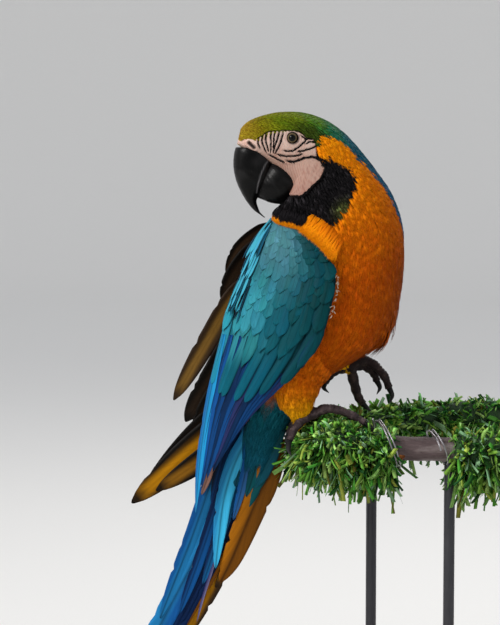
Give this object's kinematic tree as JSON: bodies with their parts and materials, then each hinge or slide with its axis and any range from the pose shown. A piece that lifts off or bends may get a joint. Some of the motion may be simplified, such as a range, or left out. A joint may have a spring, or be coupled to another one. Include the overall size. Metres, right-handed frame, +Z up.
{
  "type": "macaw",
  "caption": "Life-size still macaw, head turned over its back, gripping a bent leafy branch with one foot, held over a round base by slim rods.",
  "frame": {"origin": "middle of the underside of the stand's round base", "axes": "+Z up, +X the way the bird's breast faces in the picture plane, -Y towards the viewer, who sees its right side"},
  "size_m": [0.4965, 0.36, 0.7792],
  "materials": {
    "feather_coat": "soft orange, green, teal and black contour feathers with bare white face skin",
    "foot_skin": "dark grey scaled skin",
    "bill_horn": "semi-gloss black horn",
    "eye": "clear cornea over a pale iris",
    "wing_coverts": "teal blue feathers",
    "flight_feathers": "blue above, golden brown below",
    "tail_feathers": "blue above, golden below",
    "bark": "weathered bark",
    "foliage": "green artificial leaf strips",
    "tie_wire": "dull grey wire",
    "stand_metal": "satin black rods",
    "stand_board": "satin black painted board"
  },
  "bodies": {
    "root": {"bill_lower": "bill_horn", "bill_upper": "bill_horn", "claw_left_1": "bill_horn", "claw_left_2": "bill_horn", "claw_left_3": "bill_horn", "claw_left_4": "bill_horn", "claw_right_1": "bill_horn", "claw_right_2": "bill_horn", "claw_right_3": "bill_horn", "claw_right_4": "bill_horn", "eye_left": "eye", "eye_right": "eye", "foot_left": "foot_skin", "foot_right": "foot_skin", "garland_bend": "foliage", "garland_front": "foliage", "garland_rear": "foliage", "head": "feather_coat", "neck": "feather_coat", "perch_branch": "bark", "stand_base": "stand_board", "stand_rod_front": "stand_metal", "stand_rod_rear": "stand_metal", "tail_left_1": "tail_feathers", "tail_left_2": "tail_feathers", "tail_left_3": "tail_feathers", "tail_left_4": "tail_feathers", "tail_left_5": "tail_feathers", "tail_left_6": "tail_feathers", "tail_right_1": "tail_feathers", "tail_right_2": "tail_feathers", "tail_right_3": "tail_feathers", "tail_right_4": "tail_feathers", "tail_right_5": "tail_feathers", "tail_right_6": "tail_feathers", "thigh_left": "feather_coat", "thigh_right": "feather_coat", "trunk": "feather_coat", "wing_left_coverts": "wing_coverts", "wing_left_primary_1": "flight_feathers", "wing_left_primary_2": "flight_feathers", "wing_left_primary_3": "flight_feathers", "wing_left_secondary_1": "flight_feathers", "wing_left_secondary_2": "flight_feathers", "wing_left_secondary_3": "flight_feathers", "wing_left_tertial_1": "flight_feathers", "wing_left_tertial_2": "flight_feathers", "wing_right_coverts": "wing_coverts", "wing_right_primaries": "flight_feathers", "wing_right_secondaries": "flight_feathers", "wire_end": "tie_wire", "wire_front": "tie_wire"}
  },
  "joints": []
}
